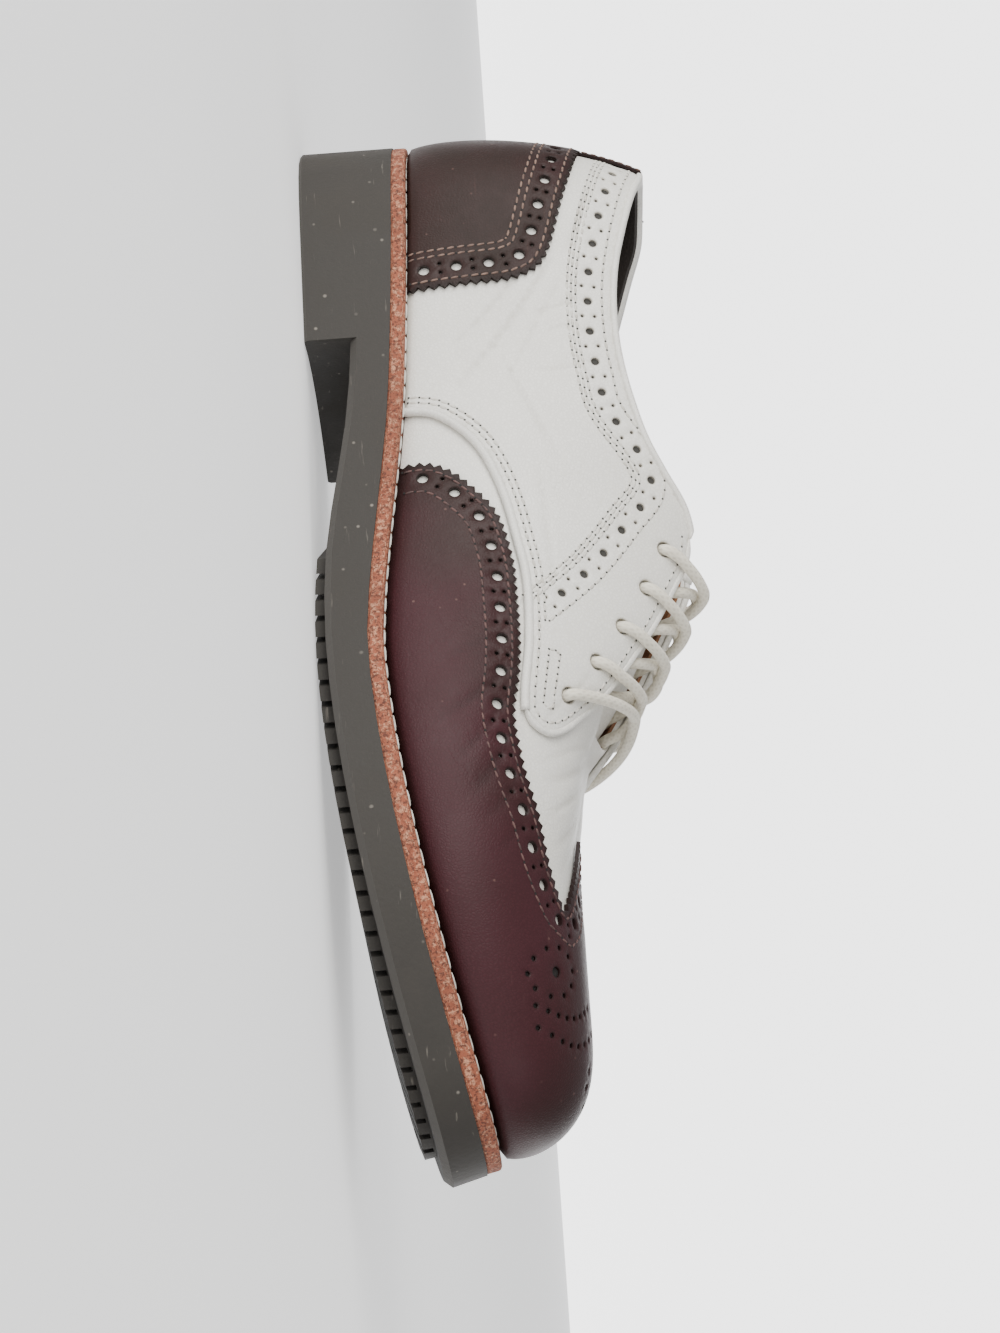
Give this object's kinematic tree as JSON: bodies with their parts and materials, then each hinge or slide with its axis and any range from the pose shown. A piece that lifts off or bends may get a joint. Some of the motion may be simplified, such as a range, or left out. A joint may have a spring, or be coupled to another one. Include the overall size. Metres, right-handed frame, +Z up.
{
  "type": "spectator shoe",
  "caption": "Two-tone full-brogue derby shoe for the left foot, with a wing cap, a laced throat and a chunky rubber unit sole with a block heel.",
  "frame": {"origin": "on the floor, centred under the shoe's length and width", "axes": "+X from heel to toe, +Y to the outer side of the foot, +Z up"},
  "size_m": [0.3006, 0.1034, 0.1023],
  "materials": {
    "rubber": "matt, faintly scuffed",
    "welt_leather": "raw speckled edge",
    "lining_leather": "smooth",
    "white_leather": "smooth, satin",
    "oxblood_leather": "smooth, polished",
    "cotton": "woven round cord"
  },
  "bodies": {
    "root": {"outsole": "rubber", "midsole": "welt_leather", "insole": "lining_leather", "upper": "white_leather", "quarter_inner": "white_leather", "quarter_outer": "white_leather", "wing_cap": "oxblood_leather", "heel_foxing": "oxblood_leather", "tongue": "white_leather", "lace_cross_1": "cotton", "lace_cross_2": "cotton", "lace_cross_3": "cotton", "lace_cross_4": "cotton", "lace_bar": "cotton"}
  },
  "joints": []
}
